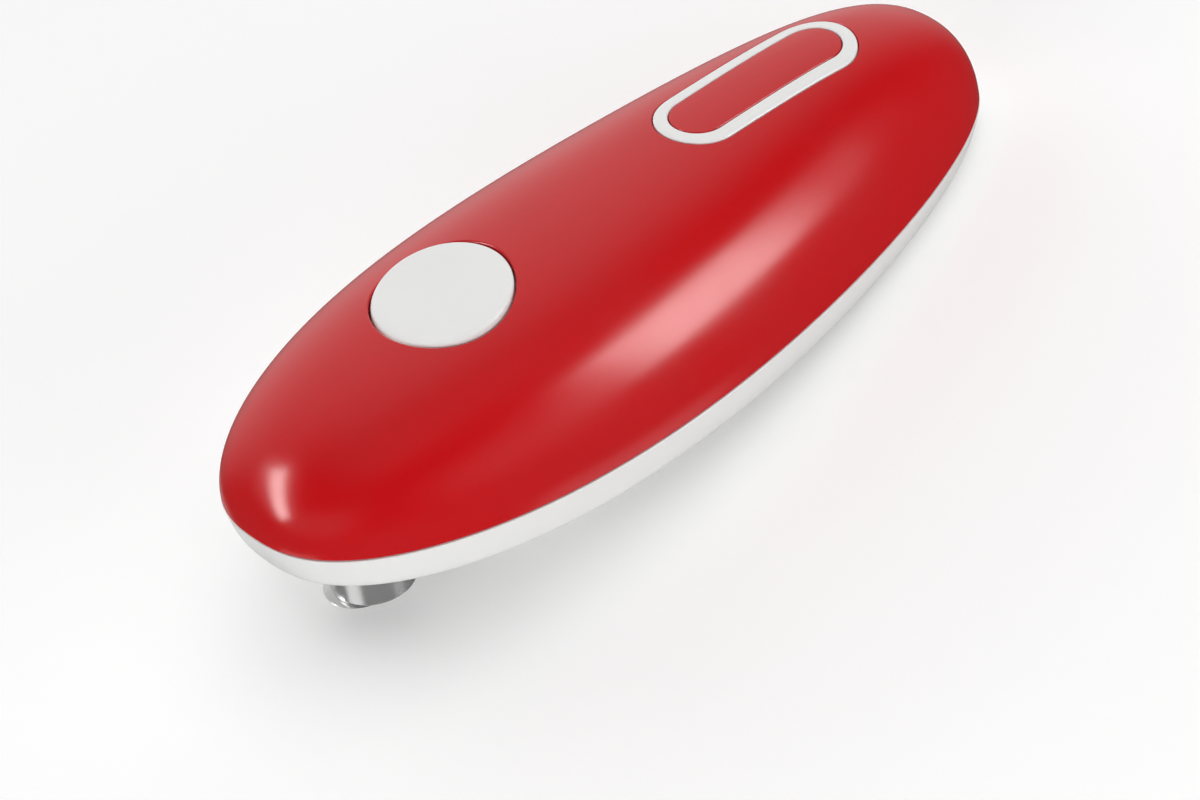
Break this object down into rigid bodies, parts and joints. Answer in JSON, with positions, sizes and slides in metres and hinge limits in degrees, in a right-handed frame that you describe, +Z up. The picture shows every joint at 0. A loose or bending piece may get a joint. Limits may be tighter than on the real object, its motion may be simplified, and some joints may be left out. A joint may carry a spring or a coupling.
{
  "type": "cordless can opener",
  "caption": "Cordless can opener: egg-shaped red top shell on a white base, round push button, inlaid racetrack ring, cutter hub and drive wheel under the nose, magnet and battery door",
  "frame": {"origin": "middle of the footprint, at the height of the lowest point, the head of the cutter screw", "axes": "+X runs from the nose with the cutting head towards the handle end, +Z up through the button, the seam plane level; Y across, the opener as it sits on a can"},
  "size_m": [0.195, 0.0746, 0.0548],
  "materials": {
    "red_gloss": "high gloss ABS, saturated red",
    "white_plastic": "semi-gloss ABS, cool white",
    "chrome": "bright turned and plated steel",
    "cutter_steel": "hardened, ground",
    "steel": "bright zinc or plain steel",
    "magnet_plate": "nickel plated",
    "bronze": "sintered bronze",
    "brass": "cut brass",
    "nylon": "natural nylon or acetal",
    "grey_plastic": "fine moulded grain",
    "black_plastic": "moulded",
    "blue_plastic": "moulded",
    "board_green": "solder mask",
    "red_wire": "soft PVC sleeve",
    "black_wire": "soft PVC sleeve",
    "cell_wrap": "plain shrink sleeve"
  },
  "bodies": {
    "housing": {"axle_1": "steel", "axle_2": "steel", "axle_3": "steel", "base_shell": "white_plastic", "battery_cell_1": "cell_wrap", "battery_cell_2": "cell_wrap", "battery_cell_3": "cell_wrap", "battery_cell_4": "cell_wrap", "battery_cradle": "grey_plastic", "button_spring": "steel", "contact_front_link": "steel", "contact_negative": "steel", "contact_positive": "steel", "contact_rear_left": "steel", "contact_rear_right": "steel", "contact_spring_1": "steel", "contact_spring_2": "steel", "contact_spring_3": "steel", "contact_spring_4": "steel", "control_board": "board_green", "drive_bush": "bronze", "gearbox_lower_plate": "grey_plastic", "gearbox_screw_1": "steel", "gearbox_screw_2": "steel", "gearbox_screw_3": "steel", "gearbox_screw_4": "steel", "gearbox_upper_plate": "grey_plastic", "housing_screw_1": "steel", "housing_screw_2": "steel", "housing_screw_3": "steel", "hub_bush": "bronze", "inlay_ring": "white_plastic", "lead_black": "black_wire", "lead_red": "red_wire", "magnet": "magnet_plate", "magnet_cup": "steel", "motor_bracket": "grey_plastic", "motor_can": "steel", "motor_end_cap": "black_plastic", "motor_screw_1": "steel", "motor_screw_2": "steel", "switch_body": "black_plastic", "upper_shell": "red_gloss"},
    "button": {"button_cap": "white_plastic"},
    "plunger": {"switch_plunger": "blue_plastic"},
    "hub": {"cutter_hub": "chrome", "cutter_hub_gear": "brass", "cutter_screw": "steel"},
    "cutter": {"cutter_wheel": "cutter_steel"},
    "drive": {"drive_shaft": "steel", "drive_wheel": "cutter_steel", "drive_wheel_screw": "steel", "output_gear": "nylon"},
    "swing": {"swing_gear": "nylon"},
    "third_gear": {"gear_3": "nylon"},
    "second_gear": {"gear_2": "nylon"},
    "first_gear": {"gear_1": "nylon"},
    "rotor": {"motor_pinion": "brass", "motor_shaft": "steel"},
    "door": {"battery_door": "white_plastic"}
  },
  "joints": [
    {"name": "button_press", "type": "slide", "parent": "housing", "child": "button", "axis": [0, 0, 1], "range_m": [-0.0018, 0], "stiffness_N_per_m": 400, "springref_m": 0.0008, "deforming": ["button_spring"]},
    {"name": "switch_press", "type": "slide", "parent": "housing", "child": "plunger", "axis": [0, 0, 1], "range_m": [-0.0018, 0]},
    {"name": "hub_swing", "type": "hinge", "parent": "housing", "child": "hub", "pos_m": [-0.0749, -0.0044, 0.0026], "axis": [0, 0, 1], "range_deg": [-150, 0]},
    {"name": "swing_gear_turn", "type": "hinge", "parent": "housing", "child": "swing", "pos_m": [-0.0579, -0.0044, 0.0224], "axis": [0, 0, 1], "range_deg": [0, 105]},
    {"name": "cutter_spin", "type": "hinge", "parent": "hub", "child": "cutter", "pos_m": [-0.0775, -0.0029, 0.0017], "axis": [0, 0, 1], "continuous": true},
    {"name": "drive_spin", "type": "hinge", "parent": "housing", "child": "drive", "pos_m": [-0.0579, -0.0044, 0.0086], "axis": [0, 0, 1], "continuous": true},
    {"name": "gear_3_spin", "type": "hinge", "parent": "housing", "child": "third_gear", "pos_m": [-0.04645, 0.00521, 0.0261], "axis": [0, 0, 1], "continuous": true},
    {"name": "gear_2_spin", "type": "hinge", "parent": "housing", "child": "second_gear", "pos_m": [-0.0329, -0.00111, 0.0231], "axis": [0, 0, 1], "continuous": true},
    {"name": "gear_1_spin", "type": "hinge", "parent": "housing", "child": "first_gear", "pos_m": [-0.02112, 0.0081, 0.0201], "axis": [0, 0, 1], "continuous": true},
    {"name": "motor_spin", "type": "hinge", "parent": "housing", "child": "rotor", "pos_m": [-0.00887, -0.00048, 0.0196], "axis": [0, 0, 1], "continuous": true},
    {"name": "battery_door_open", "type": "hinge", "parent": "housing", "child": "door", "pos_m": [0.0622, 0, 0.01281], "axis": [0, -1, 0], "range_deg": [0, 100]}
  ],
  "couplings": [
    {"joint": "switch_press", "follows": "button_press", "ratio": 1},
    {"joint": "swing_gear_turn", "follows": "hub_swing", "ratio": -0.7},
    {"joint": "gear_3_spin", "follows": "drive_spin", "ratio": -3.6},
    {"joint": "gear_2_spin", "follows": "drive_spin", "ratio": 12.96},
    {"joint": "gear_1_spin", "follows": "drive_spin", "ratio": -46.656},
    {"joint": "motor_spin", "follows": "drive_spin", "ratio": 167.96}
  ]
}
